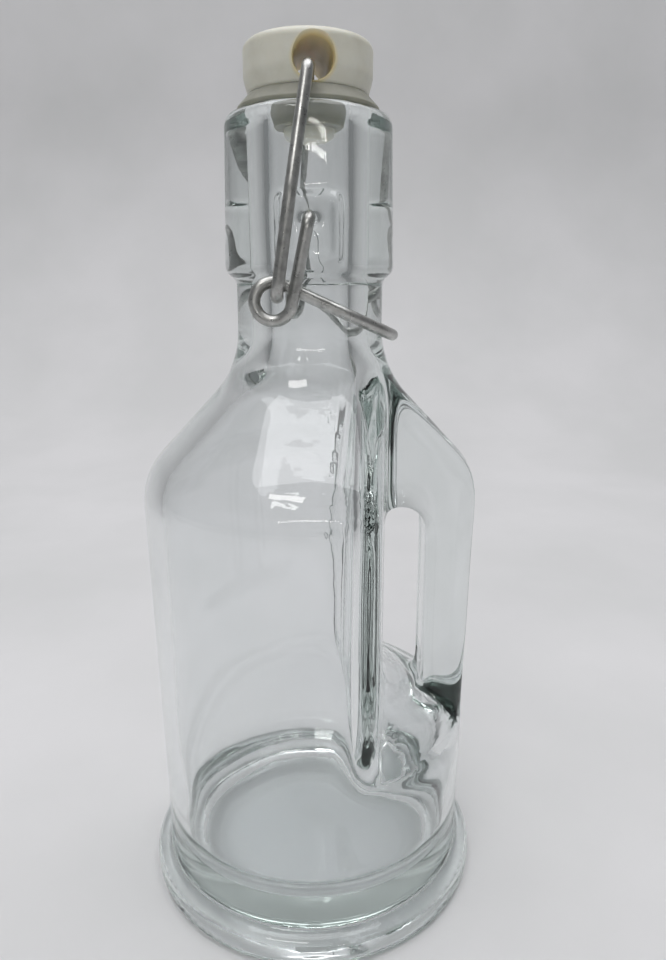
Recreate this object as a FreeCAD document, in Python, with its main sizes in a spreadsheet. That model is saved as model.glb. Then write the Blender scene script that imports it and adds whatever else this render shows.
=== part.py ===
import FreeCAD, Part
import math
import os
import re

import Sketcher

# A small clear-glass growler with a cast-in handle and a wire swing-top closure.
# Frame: millimetres, +Z up, origin on the bottle's axis at the plane it stands on.
# The handle points along +X and the closure's wires pivot about a line along Y.

doc = FreeCAD.newDocument("growler")
sheet = doc.addObject("Spreadsheet::Sheet", "sizes")

SIZES = {
    # outside of the glass: foot, wall, shoulder, neck and collar
    "foot_radius": 37.0,
    "foot_height": 6.2,
    "foot_edge_radius": 2.6,
    "foot_bevel": 1.0,
    "foot_step": 0.4,
    "foot_land_outer": 35.6,
    "foot_land_inner": 32.0,
    "pushup_height": 2.2,
    "heel_radius": 33.5,
    "heel_fillet": 1.6,
    "shoulder_radius": 35.2,
    "shoulder_height": 93.6,
    "shoulder_fillet": 14.0,
    "neck_radius": 14.6,
    "neck_root_height": 115.3,
    "neck_fillet": 19.0,
    "collar_bottom": 132.4,
    "collar_radius": 16.7,
    "collar_rise": 1.2,
    "collar_root_fillet": 0.9,
    "collar_lower_fillet": 1.8,
    "rim_radius": 16.0,
    "rim_height": 162.5,
    "rim_fillet": 2.2,
    # inside of the glass
    "wall_thickness": 4.0,
    "floor_height": 8.5,
    "floor_crown": 1.5,
    "floor_radius": 24.0,
    "inner_heel_height": 15.0,
    "inner_heel_radius": 30.3,
    "inner_heel_fillet": 8.0,
    "inner_side_fillet": 5.6,
    "inner_shoulder_height": 91.2,
    "inner_shoulder_fillet": 11.0,
    "bore_radius": 7.75,
    "bore_root_height": 116.5,
    "bore_fillet": 12.0,
    "mouth_radius": 8.3,
    "mouth_depth": 1.2,
    # handle: the wall behind it is cut nearly flat, and a fin and a bar stand off it
    "nose_x": 15.9,
    "nose_draft": 0.108,
    "nose_fillet": 20.0,
    "recess_top": 119.5,
    "fin_half_width": 8.0,
    "finger_hole_x": 24.2,
    "finger_hole_top": 86.0,
    "finger_hole_start": 20.0,
    "finger_hole_fillet": 5.0,
    "ledge_height": 45.6,
    "ledge_slope": 0.40,
    "ledge_half_width": 9.0,
    "ledge_draft": 0.27,
    "ledge_round": 6.0,
    "ledge_knee": 21.0,
    "ledge_knee_round": 14.0,
    "ledge_fall": 0.35,
    "handle_reach": 60.0,
    # bosses that hold the lever wire
    "boss_width": 11.2,
    "boss_height": 11.4,
    "boss_centre": 141.0,
    "boss_face_y": 17.0,
    "boss_edge": 1.0,
    "boss_panel_depth": 0.25,
    "boss_fillet": 0.8,
    "socket_radius": 1.25,
    "dimple_radius": 2.6,
    "dimple_depth": 0.9,
    "socket_depth": 3.2,
    # wires and the three pivots of the closure
    "wire_radius": 1.1,
    "pivot_height": 142.8,
    "eye_reach": 14.8,
    "eye_angle": 23.0,
    "crossbar_height": 167.55,
    # lever wire
    "lever_pin_y": 14.9,
    "lever_arm_y": 19.8,
    "lever_tail_y": 17.5,
    "lever_bend": 2.0,
    "loop_radius": 3.35,
    "loop_offset_x": -0.72,
    "loop_offset_z": -0.73,
    "tail_angle": 24.4,
    "tail_end_x": 16.2,
    "tail_bend": 12.0,
    "eye_bend": 3.1,
    # bail wire
    "bail_pin_y": 15.8,
    "bail_leg_y": 22.2,
    "bail_top_y": 17.6,
    "bail_shoulder_y": 15.7,
    "bail_straight": 17.5,
    "bail_lean_end": 33.5,
    "bail_bend": 2.4,
    "bail_lean_bend": 14.0,
    # stopper
    "stopper_radius": 12.2,
    "stopper_base_radius": 11.4,
    "stopper_bottom": 165.6,
    "stopper_belly": 168.6,
    "stopper_belly_fillet": 3.0,
    "stopper_top": 174.6,
    "stopper_top_fillet": 1.6,
    "stopper_base_fillet": 0.8,
    "stem_radius": 3.6,
    "button_radius": 4.9,
    "button_top": 159.3,
    "plug_bottom": 157.2,
    "plug_fillet": 1.5,
    "cross_hole_radius": 3.5,
    "cross_hole_height": 169.6,
    "cross_hole_mouth": 11.3,
    "cross_hole_round": 2.0,
    "cross_hole_end": 13.4,
    "stopper_turn": 5.0,
    # gasket
    "gasket_radius": 13.5,
    "gasket_top_radius": 11.4,
    "gasket_hub_radius": 6.6,
    "gasket_seat_radius": 7.3,
    "gasket_lip": 0.9,
    "gasket_fillet": 0.35,
    # how far cutting shapes run past the surface they cut
    "overcut": 2.0,
}

for row, (alias, number) in enumerate(SIZES.items(), start=1):
    sheet.set(f"A{row}", alias.replace("_", " "))
    sheet.set(f"B{row}", str(number))
    sheet.setAlias(f"B{row}", alias)
doc.recompute()


def size(formula):
    """The number that a formula of the sheet's aliases gives."""
    return float(sheet.evalExpression(formula))


def linked(formula):
    """The formula with each alias addressed through the sheet, as other objects read it."""
    return re.sub("[a-z_]+", lambda word: f"sizes.{word[0]}" if word[0] in SIZES else word[0], formula)


def new_body(label):
    body = doc.addObject("PartDesign::Body", label)
    body.Label = label
    return body


def plane_sketch(body, role, name):
    """A sketch on one of the body's own origin planes."""
    plane = next(f for f in body.Origin.OriginFeatures if f.Role == role)
    sketch = body.newObject("Sketcher::SketchObject", name)
    sketch.AttachmentSupport = (plane, [""])
    sketch.MapMode = "FlatFace"
    return sketch


def bind(sketch, constraint, formula):
    """Adds a driving constraint and ties it to a formula of the sheet."""
    index = sketch.addConstraint(constraint)
    sketch.setExpression(f"Constraints[{index}]", linked(formula))


def outline(sketch, corners):
    """A closed outline of straight runs. Each corner is (x formula, y formula, rounding formula or None)."""
    spots = [FreeCAD.Vector(size(x), size(y), 0) for x, y, _ in corners]
    rounds = [size(rounding) if rounding else 0.0 for _, _, rounding in corners]
    count = len(corners)
    trims = []
    for i in range(count):
        before = (spots[i - 1] - spots[i]).normalize()
        after = (spots[(i + 1) % count] - spots[i]).normalize()
        trims.append(rounds[i] / math.tan(before.getAngle(after) / 2) if rounds[i] else 0.0)
    lines = []
    for i in range(count):
        j = (i + 1) % count
        along = (spots[j] - spots[i]).normalize()
        start = spots[i] + along * trims[i]
        end = spots[j] - along * trims[j]
        lines.append(sketch.addGeometry(Part.LineSegment(start, end)))
    for i, (x, y, rounding) in enumerate(corners):
        before, after = lines[i - 1], lines[i]
        if rounding:
            mark = sketch.addGeometry(Part.Point(spots[i]), True)
            held = (mark, 1)
            sketch.addConstraint(Sketcher.Constraint("PointOnObject", mark, 1, before))
            sketch.addConstraint(Sketcher.Constraint("PointOnObject", mark, 1, after))
            turn = round_corner(spots[i], spots[i - 1], spots[(i + 1) % count], rounds[i])
            arc = sketch.addGeometry(turn)
            first, last = arc_ends(turn, sketch.Geometry[before].EndPoint)
            sketch.addConstraint(Sketcher.Constraint("Tangent", before, 2, arc, first))
            sketch.addConstraint(Sketcher.Constraint("Tangent", after, 1, arc, last))
            bind(sketch, Sketcher.Constraint("Radius", arc, rounds[i]), rounding)
        else:
            held = (after, 1)
            sketch.addConstraint(Sketcher.Constraint("Coincident", before, 2, after, 1))
        place(sketch, held, spots[i], x, y)


def round_corner(corner, before, after, radius):
    """The arc of this radius that touches both straight runs of a corner."""
    one = (before - corner).normalize()
    two = (after - corner).normalize()
    half = one.getAngle(two) / 2
    centre = corner + (one + two).normalize() * (radius / math.sin(half))
    ends = [corner + way * (radius / math.tan(half)) for way in (one, two)]
    angles = [math.atan2(p.y - centre.y, p.x - centre.x) for p in ends]
    if (angles[1] - angles[0]) % (2 * math.pi) > math.pi:
        angles.reverse()
    return Part.ArcOfCircle(Part.Circle(centre, FreeCAD.Vector(0, 0, 1), radius), *angles)


def arc_ends(arc, first):
    """The numbers Sketcher gives the arc's ends, the one at the given point first."""
    near = (arc.StartPoint - first).Length < (arc.EndPoint - first).Length
    return (1, 2) if near else (2, 1)


def place(sketch, held, spot, x, y):
    """Ties a point to its x and y formulas, or to an axis where the formula is zero."""
    axes = (("DistanceX", x, spot.x, -2), ("DistanceY", y, spot.y, -1))
    for kind, formula, number, axis in axes:
        if formula == "0":
            sketch.addConstraint(Sketcher.Constraint("PointOnObject", *held, axis))
        else:
            bind(sketch, Sketcher.Constraint(kind, -1, 1, *held, number), formula)


def turned(body, name, corners):
    """A solid of revolution about the body's Z axis."""
    sketch = plane_sketch(body, "XZ_Plane", f"{name}_outline")
    outline(sketch, corners)
    feature = body.newObject("PartDesign::Revolution", name)
    feature.Profile = sketch
    feature.ReferenceAxis = (sketch, ["V_Axis"])
    feature.Angle = 360
    doc.recompute()
    return feature


def boolean(kind, name, base, tool):
    feature = doc.addObject(f"Part::{kind}", name)
    feature.Base = base
    feature.Tool = tool
    doc.recompute()
    return feature


def block(name, sizes, corner):
    """A box whose edge lengths and low corner are formulas of the sheet."""
    feature = doc.addObject("Part::Box", name)
    for side, formula in zip(("Length", "Width", "Height"), sizes, strict=True):
        feature.setExpression(side, linked(formula))
    for axis, formula in zip("xyz", corner, strict=True):
        feature.setExpression(f"Placement.Base.{axis}", linked(formula))
    doc.recompute()
    return feature


def rounded(name, base, edges, formula):
    """A fillet of the given edge numbers, whose radius follows the sheet."""
    feature = doc.addObject("Part::Fillet", name)
    feature.Base = base
    feature.Edges = [(edge, size(formula), size(formula)) for edge in edges]
    doc.recompute()
    return feature


def edges_where(shape, test):
    """The numbers of the shape's edges that pass a test."""
    return [i for i, edge in enumerate(shape.Edges, start=1) if test(edge)]


# --- the bottle: one piece of glass ---

def glass_envelope():
    """The outside of the bottle as if it had no handle openings."""
    return turned(new_body("glass_envelope"), "envelope", [
        ("0", "pushup_height", None),
        ("foot_land_inner - foot_bevel", "foot_bevel / 2", None),
        ("foot_land_inner", "0", None),
        ("foot_land_outer", "0", None),
        ("foot_radius", "foot_radius - foot_land_outer", None),
        ("foot_radius", "foot_height", "foot_edge_radius"),
        ("heel_radius", "foot_height + foot_step", "heel_fillet"),
        ("shoulder_radius", "shoulder_height", "shoulder_fillet"),
        ("neck_radius", "neck_root_height", "neck_fillet"),
        ("neck_radius", "collar_bottom", "collar_root_fillet"),
        ("collar_radius", "collar_bottom + collar_rise", "collar_lower_fillet"),
        ("rim_radius", "rim_height", "rim_fillet"),
        ("0", "rim_height", None),
    ])


def glass_hollow():
    """The inside of the bottle as if the wall went straight past the handle."""
    return turned(new_body("glass_hollow"), "hollow", [
        ("0", "floor_height + floor_crown", None),
        ("floor_radius", "floor_height", "inner_heel_fillet"),
        ("inner_heel_radius", "inner_heel_height", "inner_side_fillet"),
        ("shoulder_radius - wall_thickness", "inner_shoulder_height", "inner_shoulder_fillet"),
        ("bore_radius", "bore_root_height", "bore_fillet"),
        ("bore_radius", "rim_height - mouth_depth", None),
        ("mouth_radius", "rim_height", None),
        ("mouth_radius", "rim_height + overcut", None),
        ("0", "rim_height + overcut", None),
    ])


def nose(name, inset):
    """The glass left of the handle's opening: a flat wall on each side, drafted from a ridge between them."""
    body = new_body(f"{name}_body")
    sketch = plane_sketch(body, "XY_Plane", f"{name}_outline")
    side = f"nose_x - {inset} - nose_draft * handle_reach"
    outline(sketch, [
        ("-handle_reach", "-handle_reach", None),
        (side, "-handle_reach", None),
        (f"nose_x - {inset}", "0", "nose_fillet"),
        (side, "handle_reach", None),
        ("-handle_reach", "handle_reach", None),
    ])
    pad = body.newObject("PartDesign::Pad", name)
    pad.Profile = sketch
    pad.setExpression("Length", linked("2 * handle_reach"))
    doc.recompute()
    return body


def ledge(name, drop):
    """The full-width glass below the handle: a roof that falls away outwards and to both sides."""
    body = new_body(f"{name}_body")
    sketch = plane_sketch(body, "YZ_Plane", f"{name}_outline")
    ridge = f"ledge_height - {drop}"
    knee = f"{ridge} - ledge_draft * (ledge_knee - ledge_half_width)"
    eaves = f"{knee} - ledge_fall * (handle_reach - ledge_knee)"
    outline(sketch, [
        ("-ledge_half_width", ridge, "ledge_round"),
        ("ledge_half_width", ridge, "ledge_round"),
        ("ledge_knee", knee, "ledge_knee_round"),
        ("handle_reach", eaves, None),
        ("handle_reach", "-handle_reach", None),
        ("-handle_reach", "-handle_reach", None),
        ("-handle_reach", eaves, None),
        ("-ledge_knee", knee, "ledge_knee_round"),
    ])
    doc.recompute()
    roof = doc.addObject("Part::Extrusion", name)
    roof.Base = sketch
    roof.DirMode = "Custom"
    roof.Dir = FreeCAD.Vector(1, 0, -size("ledge_slope"))
    roof.LengthFwd = 2 * size("handle_reach")
    roof.Solid = True
    roof.setExpression("Placement.Base.x", linked("nose_x - handle_reach"))
    roof.setExpression("Placement.Base.z", linked("ledge_slope * handle_reach"))
    doc.recompute()
    return roof


def handle_room(name, inset):
    """The room beside the handle: everything right of the nose and above the ledge."""
    whole = block(
        f"{name}_block",
        ("handle_reach", "2 * handle_reach", "recess_top"),
        ("0", "-handle_reach", "0"),
    )
    right = boolean("Cut", f"{name}_right", whole, nose(f"{name}_nose", inset))
    return boolean("Cut", name, right, ledge(f"{name}_ledge", inset))


def finger_hole():
    """The way through the handle, with its two outer corners rounded."""
    body = new_body("finger_hole_body")
    sketch = plane_sketch(body, "XZ_Plane", "finger_hole_outline")
    outline(sketch, [
        ("0", "finger_hole_start", None),
        ("finger_hole_x", "finger_hole_start", None),
        ("finger_hole_x", "finger_hole_top", "finger_hole_fillet"),
        ("0", "finger_hole_top", None),
    ])
    pad = body.newObject("PartDesign::Pad", "finger_hole_pad")
    pad.Profile = sketch
    pad.Midplane = True
    pad.setExpression("Length", linked("2 * handle_reach"))
    doc.recompute()
    return body


def side_slabs():
    """The two slabs of room in front of and behind the fin and the bar."""
    both = doc.addObject("Part::MultiFuse", "side_slabs")
    slabs = []
    for side, low in (("front", "-handle_reach"), ("back", "fin_half_width")):
        slabs.append(block(
            f"{side}_slab",
            ("2 * handle_reach", "handle_reach - fin_half_width", "2 * rim_height"),
            ("-handle_reach", low, "-rim_height"),
        ))
    both.Shapes = slabs
    doc.recompute()
    return both


def pivot_boss():
    """A square panel across the collar, front and back, before it is cut for the wire."""
    slab = block(
        "boss_block",
        ("boss_width", "2 * boss_face_y", "boss_height"),
        ("-boss_width / 2", "-boss_face_y", "boss_centre - boss_height / 2"),
    )
    upright = edges_where(slab.Shape, lambda e: abs(e.tangentAt(e.FirstParameter).y) > 0.99)
    return rounded("pivot_boss", slab, upright, "boss_fillet")


def boss_panel(side):
    """The shallow square sink in one boss, inside its raised edge."""
    return block(
        f"boss_panel_{'front' if side < 0 else 'back'}",
        ("boss_width - 2 * boss_edge", "overcut", "boss_height - 2 * boss_edge"),
        (
            "-boss_width / 2 + boss_edge",
            "-boss_face_y - overcut + boss_panel_depth" if side < 0 else "boss_face_y - boss_panel_depth",
            "boss_centre - boss_height / 2 + boss_edge",
        ),
    )


def boss_bore(side):
    """The blind socket and the cone-shaped dimple that hold one end of the lever wire."""
    where = "front" if side < 0 else "back"
    socket = doc.addObject("Part::Cylinder", f"socket_{where}")
    socket.setExpression("Radius", linked("socket_radius"))
    socket.setExpression("Height", linked("socket_depth + overcut"))
    dimple = doc.addObject("Part::Cone", f"dimple_{where}")
    dimple.setExpression("Radius1", linked("socket_radius"))
    dimple.setExpression("Radius2", linked("2 * dimple_radius - socket_radius"))
    dimple.setExpression("Height", linked("dimple_depth * 2"))
    turn = FreeCAD.Rotation(FreeCAD.Vector(1, 0, 0), -90 * side)
    depths = (
        (socket, "boss_face_y - socket_depth"),
        (dimple, "boss_face_y - boss_panel_depth - dimple_depth"),
    )
    for tool, depth in depths:
        tool.Placement.Rotation = turn
        tool.setExpression("Placement.Base.y", linked(f"{side} * ({depth})"))
        tool.setExpression("Placement.Base.z", linked("pivot_height"))
    return [socket, dimple]


def bottle():
    outside = boolean("Fuse", "outside", glass_envelope().getParentGeoFeatureGroup(), pivot_boss())
    openings = boolean("Fuse", "openings", side_slabs(), finger_hole())
    opened = boolean("Common", "handle_openings", handle_room("outer_room", 0), openings)
    shaped = boolean("Cut", "outside_with_handle", outside, opened)
    inside = boolean(
        "Cut",
        "inside",
        glass_hollow().getParentGeoFeatureGroup(),
        handle_room("inner_room", size("wall_thickness")),
    )
    hollow = boolean("Cut", "hollow_bottle", shaped, inside)
    tools = doc.addObject("Part::MultiFuse", "boss_cuts")
    cuts = []
    for side in (-1, 1):
        cuts.append(boss_panel(side))
        cuts.extend(boss_bore(side))
    tools.Shapes = cuts
    doc.recompute()
    glass = boolean("Cut", "bottle", hollow, tools)
    glass.Label = "bottle"
    return glass


# --- the closure's wires ---

def eye_centre():
    """Where the bail wire's pins turn in the lever wire's eyes, at y = 0."""
    angle = math.radians(size("eye_angle"))
    reach = size("eye_reach")
    return FreeCAD.Vector(-reach * math.sin(angle), 0, size("pivot_height") - reach * math.cos(angle))


def bent_run(points, radii):
    """Edges along straight runs between points, with a tangent arc at each inner point."""
    edges = []
    start = points[0]
    for before, corner, after, radius in zip(points, points[1:], points[2:], radii, strict=False):
        one = (before - corner).normalize()
        two = (after - corner).normalize()
        half = one.getAngle(two) / 2
        reach = radius / math.tan(half)
        centre = corner + (one + two).normalize() * (radius / math.sin(half))
        middle = centre + (corner - centre).normalize() * radius
        edges.append(Part.makeLine(start, corner + one * reach))
        edges.append(Part.Arc(corner + one * reach, middle, corner + two * reach).toShape())
        start = corner + two * reach
    edges.append(Part.makeLine(start, points[-1]))
    return edges


def both_sides(edges):
    """A wire of the edges in order, from one end across the mirror plane y = 0 to the other end."""
    origin = FreeCAD.Vector(0, 0, 0)
    mirrored = [edge.mirror(origin, FreeCAD.Vector(0, 1, 0)) for edge in edges]
    return Part.Wire(Part.__sortEdges__(edges + mirrored))


def drawn_wire(label, path, start, along):
    """A round wire swept along a path that begins at start and heads along a direction."""
    spine = doc.addObject("Part::Feature", f"{label}_path")
    spine.Shape = path
    section = doc.addObject("Part::Circle", f"{label}_section")
    section.setExpression("Radius", linked("wire_radius"))
    turn = FreeCAD.Rotation(FreeCAD.Vector(0, 0, 1), along)
    section.Placement = FreeCAD.Placement(start, turn)
    wire = doc.addObject("Part::Sweep", label)
    wire.Label = label
    wire.Sections = [section]
    wire.Spine = (spine, [f"Edge{i + 1}" for i in range(len(path.Edges))])
    wire.Solid = True
    wire.Frenet = False
    doc.recompute()
    return wire


def eye_corners(centre, first, last, start_y, end_y):
    """Corners that the lever wire's eye is bent round, clockwise from the front, moving inwards as it goes.

    first and last are the angles where the eye leaves the arm and joins the tail, in radians.
    """
    count = 6
    turn = (first - last) / count
    reach = size("loop_radius") / math.cos(turn / 2)
    corners = []
    for number in range(count):
        angle = first - turn * (number + 0.5)
        share = number / (count - 1)
        corners.append(FreeCAD.Vector(
            centre.x + reach * math.cos(angle),
            start_y + (end_y - start_y) * share,
            centre.z + reach * math.sin(angle),
        ))
    return corners


def lever_wire():
    """Both pins, arms and eyes and the tail round the neck, bent from one length of wire."""
    pivot = FreeCAD.Vector(0, 0, size("pivot_height"))
    eye = eye_centre()
    centre = FreeCAD.Vector(eye.x + size("loop_offset_x"), 0, eye.z + size("loop_offset_z"))
    to_centre = centre - pivot
    spread = math.asin(size("loop_radius") / to_centre.Length)
    arm_heading = math.atan2(to_centre.z, to_centre.x) + spread
    tail_drop = math.radians(size("tail_angle"))
    first = arm_heading + math.pi / 2
    last = math.pi / 2 - tail_drop - 2 * math.pi
    arm_y = -size("lever_arm_y")
    tail_y = -size("lever_tail_y")
    corners = eye_corners(centre, first, last, arm_y, tail_y)
    run = (size("tail_end_x") - corners[-1].x) * math.tan(tail_drop)
    end_z = corners[-1].z - run
    pin = FreeCAD.Vector(pivot.x, -size("lever_pin_y"), pivot.z)
    points = [
        pin,
        FreeCAD.Vector(pivot.x, arm_y, pivot.z),
        *corners,
        FreeCAD.Vector(size("tail_end_x"), tail_y, end_z),
        FreeCAD.Vector(size("tail_end_x"), 0, end_z),
    ]
    eye_bends = [size("eye_bend")] * len(corners)
    path = both_sides(bent_run(points, [size("lever_bend"), *eye_bends, size("tail_bend")]))
    return drawn_wire("lever_wire", path, pin, FreeCAD.Vector(0, -1, 0))


def bail_wire():
    """The wire from one eye up over the stopper and down to the other eye."""
    eye = eye_centre()
    top = FreeCAD.Vector(0, 0, size("crossbar_height"))
    along = (top - eye).normalize()
    length = (top - eye).Length

    def at(reach, y):
        spot = eye + along * reach
        return FreeCAD.Vector(spot.x, -y, spot.z)

    points = [
        at(0, size("bail_pin_y")),
        at(0, size("bail_leg_y")),
        at(size("bail_straight"), size("bail_leg_y")),
        at(size("bail_lean_end"), size("bail_top_y")),
        at(length, size("bail_shoulder_y")),
        at(length, 0),
    ]
    bend = size("bail_bend")
    lean = size("bail_lean_bend")
    path = both_sides(bent_run(points, [bend, lean, lean, bend]))
    return drawn_wire("bail_wire", path, points[0], FreeCAD.Vector(0, -1, 0))


# --- the stopper and its gasket ---

def stopper():
    body = new_body("stopper")
    turned(body, "stopper_turning", [
        ("0", "plug_bottom", None),
        ("button_radius", "plug_bottom", "plug_fillet"),
        ("button_radius", "button_top", None),
        ("stem_radius", "button_top", None),
        ("stem_radius", "stopper_bottom", None),
        ("stopper_base_radius", "stopper_bottom", "stopper_base_fillet"),
        ("stopper_radius", "stopper_belly", "stopper_belly_fillet"),
        ("stopper_radius", "stopper_top", "stopper_top_fillet"),
        ("0", "stopper_top", None),
    ])
    sketch = plane_sketch(body, "YZ_Plane", "cross_hole_outline")
    side = "cross_hole_height + cross_hole_radius"
    outline(sketch, [
        ("-cross_hole_end", "cross_hole_height", None),
        ("cross_hole_end", "cross_hole_height", None),
        ("cross_hole_end", f"{side} + cross_hole_end - cross_hole_mouth", None),
        ("cross_hole_mouth", side, "cross_hole_round"),
        ("-cross_hole_mouth", side, "cross_hole_round"),
        ("-cross_hole_end", f"{side} + cross_hole_end - cross_hole_mouth", None),
    ])
    sides = [line for line, piece in enumerate(sketch.Geometry) if piece.TypeId == "Part::GeomLineSegment"]
    axis = sketch.addGeometry(sketch.Geometry[sides[0]], True)
    sketch.addConstraint(Sketcher.Constraint("Coincident", axis, 1, sides[0], 1))
    sketch.addConstraint(Sketcher.Constraint("Coincident", axis, 2, sides[0], 2))
    hole = body.newObject("PartDesign::Groove", "cross_hole")
    hole.Profile = sketch
    hole.ReferenceAxis = (sketch, ["Axis0"])
    hole.Angle = 360
    body.Tip = hole
    doc.recompute()
    body.Placement.Rotation = FreeCAD.Rotation(FreeCAD.Vector(0, 0, 1), size("stopper_turn"))
    return body


def gasket():
    """A soft ring on the stopper's stem that flares down to a lip on the bottle's rim."""
    body = new_body("gasket")
    turned(body, "gasket_turning", [
        ("stem_radius", "button_top", None),
        ("gasket_hub_radius", "button_top", "gasket_fillet"),
        ("gasket_seat_radius", "rim_height", None),
        ("gasket_radius", "rim_height", "gasket_fillet"),
        ("gasket_radius", "rim_height + gasket_lip", "gasket_fillet"),
        ("gasket_top_radius", "stopper_bottom", None),
        ("stem_radius", "stopper_bottom", None),
    ])
    return body


SUB_PARTS = {
    "bottle": bottle(),
    "lever_wire": lever_wire(),
    "bail_wire": bail_wire(),
    "stopper": stopper(),
    "gasket": gasket(),
}

doc.recompute()
for thing in doc.Objects:
    if {"Invalid", "Error"} & set(thing.State):
        raise SystemExit(f"{thing.Name} failed: {thing.State}")
for name, thing in SUB_PARTS.items():
    if thing.Shape.isNull() or not thing.Shape.isValid() or thing.Label != name:
        raise SystemExit(f"{name} has no valid shape")
    if len(thing.Shape.Solids) != 1:
        raise SystemExit(f"{name} has {len(thing.Shape.Solids)} solids")

os.makedirs("parts", exist_ok=True)
for name, thing in SUB_PARTS.items():
    thing.Shape.exportStep(f"parts/{name}.step")
    print(name, "volume", round(thing.Shape.Volume), "mm3", thing.Shape.BoundBox)
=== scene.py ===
import math

import bmesh
import bpy
import numpy as np
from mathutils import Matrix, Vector, noise
from mathutils.kdtree import KDTree


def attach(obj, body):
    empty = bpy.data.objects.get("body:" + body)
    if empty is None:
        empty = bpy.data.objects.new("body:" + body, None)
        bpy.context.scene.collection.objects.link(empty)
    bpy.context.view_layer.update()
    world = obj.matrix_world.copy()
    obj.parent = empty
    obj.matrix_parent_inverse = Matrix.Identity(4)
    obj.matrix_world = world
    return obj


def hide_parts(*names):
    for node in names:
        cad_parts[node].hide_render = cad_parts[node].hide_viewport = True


# A clear-glass growler with a cast-in handle, its wire swing-top and its stopper, on a pale sweep.
# Lengths are in metres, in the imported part's frame: +Z up, handle along +X.

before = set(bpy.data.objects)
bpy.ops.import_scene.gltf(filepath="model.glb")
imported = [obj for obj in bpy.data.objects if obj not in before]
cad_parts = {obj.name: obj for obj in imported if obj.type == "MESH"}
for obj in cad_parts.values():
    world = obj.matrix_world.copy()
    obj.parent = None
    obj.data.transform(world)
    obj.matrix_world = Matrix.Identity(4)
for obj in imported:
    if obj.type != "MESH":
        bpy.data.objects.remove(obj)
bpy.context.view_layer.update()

MM = 0.001
VOXEL = 0.55 * MM

# how the moulded glass softens the CAD's sharp edges: reach from the edge, share per round, rounds
SHARP = math.radians(28)
OUTER_REACH = 4.5 * MM
OUTER_ROUNDS = 60
INNER_REACH = 11 * MM
INNER_ROUNDS = 220
HANDLE_SHARE = 0.5
DETAIL_REACH = 1.5 * MM
DETAIL_SHARE = 0.3
DETAIL_ROUNDS = 10
FLAT_SHARE = 0.4
FLAT_ROUNDS = 60
ROUND_SHARE = 0.5
ROUND_ROUNDS = 160
LAST_SHARE = 0.25
LAST_ROUNDS = 2

# where the handle's side of the glass begins and ends
HANDLE_FROM = 0.5 * MM
HANDLE_BOTTOM = 14 * MM
HANDLE_TOP = 124 * MM

# the block round the pivot bosses that keeps its flat faces
BOSS_HALF = 8.5 * MM
BOSS_FACE = 11 * MM
BOSS_BOTTOM = 132.5 * MM

# the waves on the inner wall, and the height where the bore's mouth begins
WAVE_BOTTOM = 12 * MM
WAVE_TOP = 118 * MM
WAVE_DEPTH = 0.15 * MM
MOUTH_HEIGHT = 161 * MM

# the grip marks in the foot ring
MARK_COUNT = 96
MARK_RADIUS = 32.9 * MM
MARK_HALF = 0.8 * MM
MARK_DEPTH = 0.02 * MM
MARK_BOW = 0.035

# the stopper's cross hole, where painted amber light sits on the moulding
HOLE_HEIGHT = 169.6 * MM
HOLE_TURN = math.radians(-5)
HOLE_RADIUS = 3.6 * MM
HOLE_FADE = 4.4 * MM

CAMERA_PLACE = Vector((0, -154.1 * MM, 131.1 * MM))
CAMERA_TILT = math.radians(75.32)
CAMERA_TURN = math.radians(-1.74)
CAMERA_LENS = 27.75


# --- mesh helpers ---

def mesh_points(mesh):
    points = np.zeros(len(mesh.vertices) * 3)
    mesh.vertices.foreach_get("co", points)
    return points.reshape(-1, 3)


def set_points(mesh, points):
    mesh.vertices.foreach_set("co", points.astype(np.float32).ravel())
    mesh.update()


def mesh_edges(mesh):
    ends = np.zeros(len(mesh.edges) * 2, np.int32)
    mesh.edges.foreach_get("vertices", ends)
    return ends.reshape(-1, 2)


def point_normals(mesh):
    normals = np.zeros(len(mesh.vertices) * 3)
    mesh.vertex_normals.foreach_get("vector", normals)
    return normals.reshape(-1, 3)


def add_object(name, mesh):
    thing = bpy.data.objects.new(name, mesh)
    bpy.context.scene.collection.objects.link(thing)
    return thing


def welded_copy(node, name):
    """A new object with the CAD node's mesh, its split vertices joined."""
    work = bmesh.new()
    work.from_mesh(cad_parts[node].data)
    bmesh.ops.remove_doubles(work, verts=work.verts, dist=1e-6)
    mesh = bpy.data.meshes.new(name)
    work.to_mesh(mesh)
    work.free()
    return add_object(name, mesh)


def remeshed(thing, voxel):
    """Replaces the object's mesh by an even one of small quads."""
    modifier = thing.modifiers.new("remesh", "REMESH")
    modifier.mode = "VOXEL"
    modifier.voxel_size = voxel
    graph = bpy.context.evaluated_depsgraph_get()
    mesh = bpy.data.meshes.new_from_object(thing.evaluated_get(graph))
    thing.modifiers.clear()
    old = thing.data
    thing.data = mesh
    bpy.data.meshes.remove(old)
    return thing


def neighbour_mean(points, edges):
    """The mean place of each point's neighbours."""
    count = len(points)
    one, two = edges[:, 0], edges[:, 1]
    share = np.bincount(one, minlength=count) + np.bincount(two, minlength=count)
    total = np.empty_like(points)
    for axis in range(3):
        total[:, axis] = np.bincount(one, points[two, axis], count)
        total[:, axis] += np.bincount(two, points[one, axis], count)
    return total / np.maximum(share, 1)[:, None]


def soften(points, edges, share, rounds):
    """Evens the points out, each by its own share per round."""
    for _ in range(rounds):
        points = points + share[:, None] * (neighbour_mean(points, edges) - points)
    return points


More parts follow.
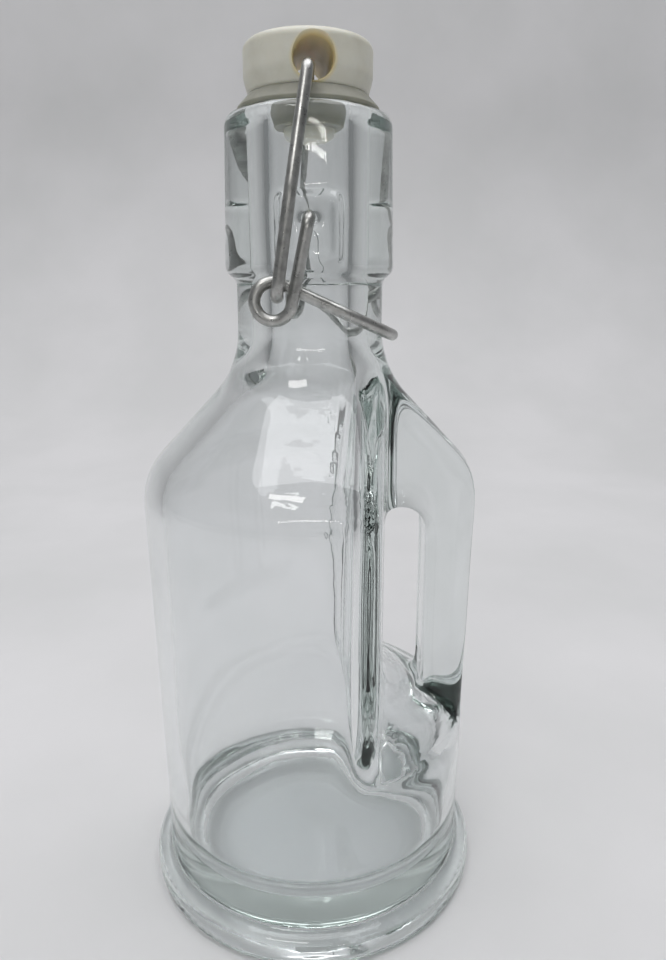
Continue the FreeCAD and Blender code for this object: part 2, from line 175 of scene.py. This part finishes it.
def even_round(points, edges, share, rounds):
    """Evens out radius and height along the way round the Z axis, so that flat facets become round."""
    count = len(points)
    one, two = edges[:, 0], edges[:, 1]
    run = points[two] - points[one]
    middle = (points[two] + points[one]) / 2
    round_way = np.stack([-middle[:, 1], middle[:, 0]], 1)
    round_way /= np.maximum(np.linalg.norm(round_way, axis=1), 1e-9)[:, None]
    pull = ((run[:, :2] * round_way).sum(1) / np.maximum(np.linalg.norm(run, axis=1), 1e-9)) ** 4
    total = np.bincount(one, pull, count) + np.bincount(two, pull, count)
    radius = np.hypot(points[:, 0], points[:, 1])
    angle = np.arctan2(points[:, 1], points[:, 0])
    profile = [radius, points[:, 2].copy()]
    for _ in range(rounds):
        for number, value in enumerate(profile):
            mean = np.bincount(one, pull * value[two], count) + np.bincount(two, pull * value[one], count)
            profile[number] = value + share * (mean / np.maximum(total, 1e-9) - value)
    return np.stack([profile[0] * np.cos(angle), profile[0] * np.sin(angle), profile[1]], 1)


def off_round(mesh):
    """How far each point's normal turns off the plane through the Z axis: 0 on a turned surface."""
    points = mesh_points(mesh)
    normals = point_normals(mesh)
    across = normals[:, 1] * points[:, 0] - normals[:, 0] * points[:, 1]
    return abs(across) / np.maximum(np.hypot(points[:, 0], points[:, 1]), 1e-9)


def sharp_edge_tree(mesh, angle, spacing):
    """Points along the mesh's sharp edges, ready for nearest-point questions."""
    work = bmesh.new()
    work.from_mesh(mesh)
    spots = []
    for edge in work.edges:
        if edge.is_manifold and edge.calc_face_angle() > angle:
            a, b = (v.co for v in edge.verts)
            steps = max(1, math.ceil((b - a).length / spacing))
            spots.extend(a.lerp(b, step / steps) for step in range(steps + 1))
    work.free()
    tree = KDTree(len(spots))
    for number, spot in enumerate(spots):
        tree.insert(spot, number)
    tree.balance()
    return tree


def smooth_step(values):
    values = np.clip(values, 0, 1)
    return values * values * (3 - 2 * values)


# --- node helpers ---

def new_material(name):
    material = bpy.data.materials.new(name)
    material.use_nodes = True
    nodes = material.node_tree.nodes
    shader = next(n for n in nodes if n.type == "BSDF_PRINCIPLED")
    return material, shader


def add_node(material, kind, **inputs):
    node = material.node_tree.nodes.new(kind)
    for key, value in inputs.items():
        node.inputs[key.replace("_", " ")].default_value = value
    return node


def link(material, source, target):
    material.node_tree.links.new(source, target)


def object_noise(material, scale, detail=3.0, roughness=0.5, stretch=None):
    """A noise texture fixed to the object, with the scale in features per metre."""
    place = add_node(material, "ShaderNodeTexCoord")
    texture = add_node(material, "ShaderNodeTexNoise", Scale=scale, Detail=detail, Roughness=roughness)
    source = place.outputs["Object"]
    if stretch:
        mapping = add_node(material, "ShaderNodeMapping", Scale=stretch)
        link(material, source, mapping.inputs["Vector"])
        source = mapping.outputs["Vector"]
    link(material, source, texture.inputs["Vector"])
    return texture.outputs["Fac"]


def ramp(material, source, stops):
    """A colour ramp over the source. Each stop is (place, colour)."""
    node = add_node(material, "ShaderNodeValToRGB")
    marks = node.color_ramp.elements
    while len(marks) < len(stops):
        marks.new(0.5)
    for mark, (place, colour) in zip(marks, stops, strict=True):
        mark.position = place
        mark.color = (*colour, 1)
    link(material, source, node.inputs["Fac"])
    return node.outputs["Color"]


def spread(material, source, low, high):
    """The source, from 0.3 to 0.7, as a number from low to high."""
    node = add_node(material, "ShaderNodeMapRange")
    node.inputs["From Min"].default_value = 0.3
    node.inputs["From Max"].default_value = 0.7
    node.inputs["To Min"].default_value = low
    node.inputs["To Max"].default_value = high
    link(material, source, node.inputs["Value"])
    return node.outputs["Result"]


def bumped(material, source, strength, depth, under=None):
    node = add_node(material, "ShaderNodeBump", Strength=strength, Distance=depth)
    link(material, source, node.inputs["Height"])
    if under:
        link(material, under, node.inputs["Normal"])
    return node.outputs["Normal"]


# --- materials ---

def clear_glass():
    material, shader = new_material("clear_glass")
    shader.inputs["Transmission Weight"].default_value = 1.0
    shader.inputs["IOR"].default_value = 1.52
    pale = [(0.3, (0.95, 0.96, 0.965)), (0.7, (0.975, 0.98, 0.985))]
    tint = ramp(material, object_noise(material, 40), pale)
    link(material, tint, shader.inputs["Base Color"])
    haze = spread(material, object_noise(material, 90, 4), 0.0, 0.035)
    link(material, haze, shader.inputs["Roughness"])
    slow = bumped(material, object_noise(material, 70, 2), 0.15, 0.2 * MM)
    fine = bumped(material, object_noise(material, 900, 3), 0.06, 0.05 * MM, slow)
    link(material, fine, shader.inputs["Normal"])
    absorb = add_node(material, "ShaderNodeVolumeAbsorption", Color=(0.48, 0.60, 0.55, 1), Density=13.0)
    output = next(n for n in material.node_tree.nodes if n.type == "OUTPUT_MATERIAL")
    link(material, absorb.outputs["Volume"], output.inputs["Volume"])
    return material


def satin_steel():
    material, shader = new_material("satin_steel")
    shader.inputs["Metallic"].default_value = 1.0
    stain = object_noise(material, 350, 6, 0.6)
    greys = [(0.30, (0.26, 0.26, 0.25)), (0.48, (0.42, 0.42, 0.405)), (0.72, (0.58, 0.58, 0.565))]
    colour = ramp(material, stain, greys)
    link(material, colour, shader.inputs["Base Color"])
    worn = spread(material, object_noise(material, 900, 5, 0.7), 0.22, 0.44)
    link(material, worn, shader.inputs["Roughness"])
    lines = bumped(material, object_noise(material, 6000, 2, 0.5, (1, 1, 0.06)), 0.35, 0.03 * MM)
    pits = bumped(material, object_noise(material, 2500, 4, 0.6), 0.2, 0.03 * MM, lines)
    link(material, pits, shader.inputs["Normal"])
    return material


def painted_hole_light(material, thing):
    """1 on the wall of the stopper's cross hole, fading to 0 outside it: the mask of the painted amber
    light that stands in for light soaking through the moulding into the hole.
    """
    inverse = thing.matrix_world.inverted()
    centre = inverse @ Vector((0, 0, HOLE_HEIGHT))
    axis = inverse.to_3x3() @ Vector((math.sin(HOLE_TURN), math.cos(HOLE_TURN), 0))
    place = add_node(material, "ShaderNodeTexCoord")
    offset = add_node(material, "ShaderNodeVectorMath")
    offset.operation = "SUBTRACT"
    offset.inputs[1].default_value = centre
    link(material, place.outputs["Object"], offset.inputs[0])
    across = add_node(material, "ShaderNodeVectorMath")
    across.operation = "CROSS_PRODUCT"
    across.inputs[1].default_value = axis.normalized()
    link(material, offset.outputs["Vector"], across.inputs[0])
    away = add_node(material, "ShaderNodeVectorMath")
    away.operation = "LENGTH"
    link(material, across.outputs["Vector"], away.inputs[0])
    near = add_node(material, "ShaderNodeMapRange")
    near.inputs["From Min"].default_value = HOLE_RADIUS
    near.inputs["From Max"].default_value = HOLE_FADE
    near.inputs["To Min"].default_value = 1.0
    near.inputs["To Max"].default_value = 0.0
    link(material, away.outputs["Value"], near.inputs["Value"])
    return near.outputs["Result"]


def cream_moulding(thing):
    material, shader = new_material("cream_moulding")
    mottle = object_noise(material, 160, 5, 0.6)
    creams = [(0.32, (0.66, 0.645, 0.55)), (0.55, (0.72, 0.71, 0.62)), (0.75, (0.76, 0.75, 0.665))]
    colour = ramp(material, mottle, creams)
    # painted light: the cross hole's wall is mixed towards amber, standing in for light that soaks through
    # the moulding
    hole_light_tint = add_node(material, "ShaderNodeMixRGB")
    hole_light_tint.inputs["Color2"].default_value = (0.78, 0.66, 0.36, 1)
    link(material, painted_hole_light(material, thing), hole_light_tint.inputs["Fac"])
    link(material, colour, hole_light_tint.inputs["Color1"])
    link(material, hole_light_tint.outputs["Color"], shader.inputs["Base Color"])
    link(material, spread(material, object_noise(material, 500, 4), 0.30, 0.46), shader.inputs["Roughness"])
    shader.inputs["Subsurface Weight"].default_value = 0.25
    shader.inputs["Subsurface Radius"].default_value = (1.0, 0.8, 0.5)
    shader.inputs["Subsurface Scale"].default_value = 1.5 * MM
    peel = bumped(material, object_noise(material, 1500, 3), 0.15, 0.05 * MM)
    link(material, peel, shader.inputs["Normal"])
    return material


def soft_rubber():
    material, shader = new_material("soft_rubber")
    cloud = object_noise(material, 220, 5, 0.65)
    colour = ramp(material, cloud, [(0.3, (0.36, 0.36, 0.30)), (0.7, (0.46, 0.455, 0.39))])
    link(material, colour, shader.inputs["Base Color"])
    link(material, spread(material, object_noise(material, 700, 4), 0.38, 0.6), shader.inputs["Roughness"])
    shader.inputs["Subsurface Weight"].default_value = 0.6
    shader.inputs["Subsurface Radius"].default_value = (1.0, 0.95, 0.7)
    shader.inputs["Subsurface Scale"].default_value = 2.0 * MM
    shader.inputs["Transmission Weight"].default_value = 0.25
    shader.inputs["IOR"].default_value = 1.42
    dust = bumped(material, object_noise(material, 3500, 4, 0.7), 0.25, 0.05 * MM)
    link(material, dust, shader.inputs["Normal"])
    return material


def pale_paper():
    material, shader = new_material("pale_paper")
    cloud = object_noise(material, 9, 4)
    colour = ramp(material, cloud, [(0.35, (0.66, 0.66, 0.66)), (0.65, (0.72, 0.715, 0.72))])
    link(material, colour, shader.inputs["Base Color"])
    shader.inputs["Roughness"].default_value = 0.85
    return material


# --- the bottle ---

def bottle():
    glass = welded_copy("bottle", "glass_bottle")
    edge_tree = sharp_edge_tree(glass.data, SHARP, VOXEL)
    glass = remeshed(glass, VOXEL)
    points = mesh_points(glass.data)
    edges = mesh_edges(glass.data)
    away = np.array([edge_tree.find(p)[2] for p in points])
    within = inner_wall(glass.data)
    in_handle = smooth_step((points[:, 0] - HANDLE_FROM) / (4 * MM))
    in_handle *= smooth_step((HANDLE_TOP - points[:, 2]) / (4 * MM))
    in_handle *= smooth_step((points[:, 2] - HANDLE_BOTTOM) / (8 * MM))
    inner = in_handle * within * smooth_step(1.5 * (1 - away / INNER_REACH))
    outer = in_handle * (1 - within) * smooth_step(1.2 * (1 - away / OUTER_REACH))
    points = soften(points, edges, HANDLE_SHARE * inner, INNER_ROUNDS)
    points = soften(points, edges, HANDLE_SHARE * outer, OUTER_ROUNDS)
    light = (1 - in_handle) * smooth_step(1.3 * (1 - away / DETAIL_REACH))
    points = soften(points, edges, DETAIL_SHARE * light, DETAIL_ROUNDS)
    near_boss = smooth_step((BOSS_HALF - abs(points[:, 0])) / (2 * MM))
    near_boss *= smooth_step((abs(points[:, 1]) - BOSS_FACE) / (2 * MM))
    near_boss *= smooth_step((points[:, 2] - BOSS_BOTTOM) / (1 * MM))
    turned = (1 - np.maximum(inner, outer)) * (1 - near_boss)
    set_points(glass.data, points)
    flat = in_handle * smooth_step((off_round(glass.data) - 0.06) / 0.10)
    turned *= 1 - flat
    points = soften(points, edges, FLAT_SHARE * flat, FLAT_ROUNDS)
    points = even_round(points, edges, ROUND_SHARE * turned, ROUND_ROUNDS)
    points = soften(points, edges, np.full(len(points), LAST_SHARE), LAST_ROUNDS)
    set_points(glass.data, points)
    wavy_inside(glass.data, within)
    foot_marks(glass.data)
    glass.data.shade_smooth()
    glass.data.materials.clear()
    glass.data.materials.append(clear_glass())
    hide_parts("bottle")
    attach(glass, "bottle")
    return glass


def inner_wall(mesh):
    """1 for the points of the wall that holds the drink, 0 for the outside."""
    work = bmesh.new()
    work.from_mesh(mesh)
    work.verts.ensure_lookup_table()
    seed = min(work.verts, key=lambda v: (v.co - Vector((0, 0, 50 * MM))).length)
    reached = {seed.index}
    front = [seed]
    while front:
        vert = front.pop()
        for edge in vert.link_edges:
            other = edge.other_vert(vert)
            if other.index not in reached and other.co.z < MOUTH_HEIGHT:
                reached.add(other.index)
                front.append(other)
    work.free()
    within = np.zeros(len(mesh.vertices))
    within[list(reached)] = 1
    return within


def wavy_inside(mesh, within):
    """The slow unevenness of blown glass on the inner wall, below the bore."""
    points = mesh_points(mesh)
    normals = point_normals(mesh)
    depth = within * smooth_step((points[:, 2] - WAVE_BOTTOM) / (6 * MM))
    depth *= smooth_step((WAVE_TOP - points[:, 2]) / (10 * MM))
    for number in np.flatnonzero(depth > 0):
        spot = Vector(points[number])
        wave = noise.noise(spot * 45) + 0.12 * noise.noise(spot * 110 + Vector((7, 3, 5)))
        points[number] += normals[number] * wave * depth[number] * WAVE_DEPTH
    set_points(mesh, points)


def foot_marks(mesh):
    """Crescent grip marks pressed into the ring the bottle stands on."""
    points = mesh_points(mesh)
    radius = np.hypot(points[:, 0], points[:, 1])
    angle = np.arctan2(points[:, 1], points[:, 0])
    offset = (radius - MARK_RADIUS) / MARK_HALF
    across = np.clip(1 - offset ** 2, 0, 1)
    bow = MARK_BOW * offset ** 2
    tick = np.clip(np.cos(MARK_COUNT * (angle + bow)), 0, 1)
    low = smooth_step((0.7 * MM - points[:, 2]) / (0.5 * MM))
    points[:, 2] += MARK_DEPTH * across * tick * low
    set_points(mesh, points)


# --- the closure: CAD nodes that keep their shape ---

def dress(node, material):
    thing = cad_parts[node]
    thing.data.materials.clear()
    thing.data.materials.append(material)


def closure():
    steel = satin_steel()
    dress("lever_wire", steel)
    dress("bail_wire", steel)
    dress("stopper", cream_moulding(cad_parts["stopper"]))
    dress("gasket", soft_rubber())


# --- studio ---

def sweep():
    """A pale sheet that lies flat under the bottle and curves up behind it."""
    back, bend, top, half = 0.34, 0.30, 1.6, 1.6
    profile = [(-1.2, 0.0), (back, 0.0)]
    steps = 24
    for step in range(1, steps + 1):
        turn = math.pi / 2 * step / steps
        profile.append((back + bend * math.sin(turn), bend * (1 - math.cos(turn))))
    profile.append((back + bend, top))
    points = [(side * half, y, z) for y, z in profile for side in (-1, 1)]
    faces = [(2 * i, 2 * i + 1, 2 * i + 3, 2 * i + 2) for i in range(len(profile) - 1)]
    mesh = bpy.data.meshes.new("sweep")
    mesh.from_pydata(points, [], faces)
    mesh.shade_smooth()
    mesh.materials.append(pale_paper())
    add_object("sweep", mesh)


def area_light(name, place, aim, width, height, power, colour):
    data = bpy.data.lights.new(name, "AREA")
    data.shape = "RECTANGLE"
    data.size = width
    data.size_y = height
    data.energy = power
    data.color = colour
    light = add_object(name, data)
    light.location = place
    light.rotation_euler = (Vector(aim) - Vector(place)).to_track_quat("-Z", "Y").to_euler()


def lamp_row(place, width, rows, columns, cell, gap, strength):
    """Rows of small bright cards behind the camera, which the glass mirrors as lines of dots."""
    corners = ((-1, -1), (1, -1), (1, 1), (-1, 1))
    points = []
    faces = []
    for row in range(rows):
        for column in range(columns):
            x = (column / (columns - 1) - 0.5) * width
            z = (row - (rows - 1) / 2) * gap
            start = len(points)
            points += [(x + i * cell / 2, 0, z + k * cell / 2) for i, k in corners]
            faces.append((start, start + 1, start + 2, start + 3))
    mesh = bpy.data.meshes.new("lamp_row")
    mesh.from_pydata(points, [], faces)
    material, shader = new_material("lamp_glow")
    shader.inputs["Emission Color"].default_value = (1, 0.98, 0.95, 1)
    shader.inputs["Emission Strength"].default_value = strength
    mesh.materials.append(material)
    lamps = add_object("lamp_row", mesh)
    lamps.location = place
    lamps.rotation_euler = (0, 0, math.pi)
    lamps.visible_camera = False
    lamps.visible_transmission = False


def studio():
    sweep()
    middle = (0, 0, 0.09)
    lamp_row((0.0, -0.80, 0.340), 0.62, 2, 26, 0.010, 0.024, 25.0)
    area_light("window", (-0.2, -0.50, 0.75), middle, 0.3, 0.12, 1.0, (1, 0.99, 0.97))
    area_light("ceiling", (0.0, 0.1, 1.5), middle, 1.6, 1.2, 17.0, (0.98, 0.98, 1))
    world = bpy.data.worlds.new("room")
    world.use_nodes = True
    surroundings = next(n for n in world.node_tree.nodes if n.type == "BACKGROUND")
    surroundings.inputs["Color"].default_value = (0.20, 0.205, 0.21, 1)
    surroundings.inputs["Strength"].default_value = 1.0
    bpy.context.scene.world = world
    bpy.context.scene.view_settings.view_transform = "Standard"
    cycles = bpy.context.scene.cycles
    cycles.max_bounces = 32
    cycles.transmission_bounces = 32
    cycles.glossy_bounces = 16
    # unblurred, the light that comes through the glass keeps its full strength on the floor
    cycles.blur_glossy = 0.0


def camera():
    data = bpy.data.cameras.new("camera")
    data.lens = CAMERA_LENS
    data.clip_start = 0.005
    thing = add_object("camera", data)
    thing.location = CAMERA_PLACE
    thing.rotation_euler = (CAMERA_TILT, 0, CAMERA_TURN)
    bpy.context.scene.camera = thing


bottle()
closure()
studio()
camera()
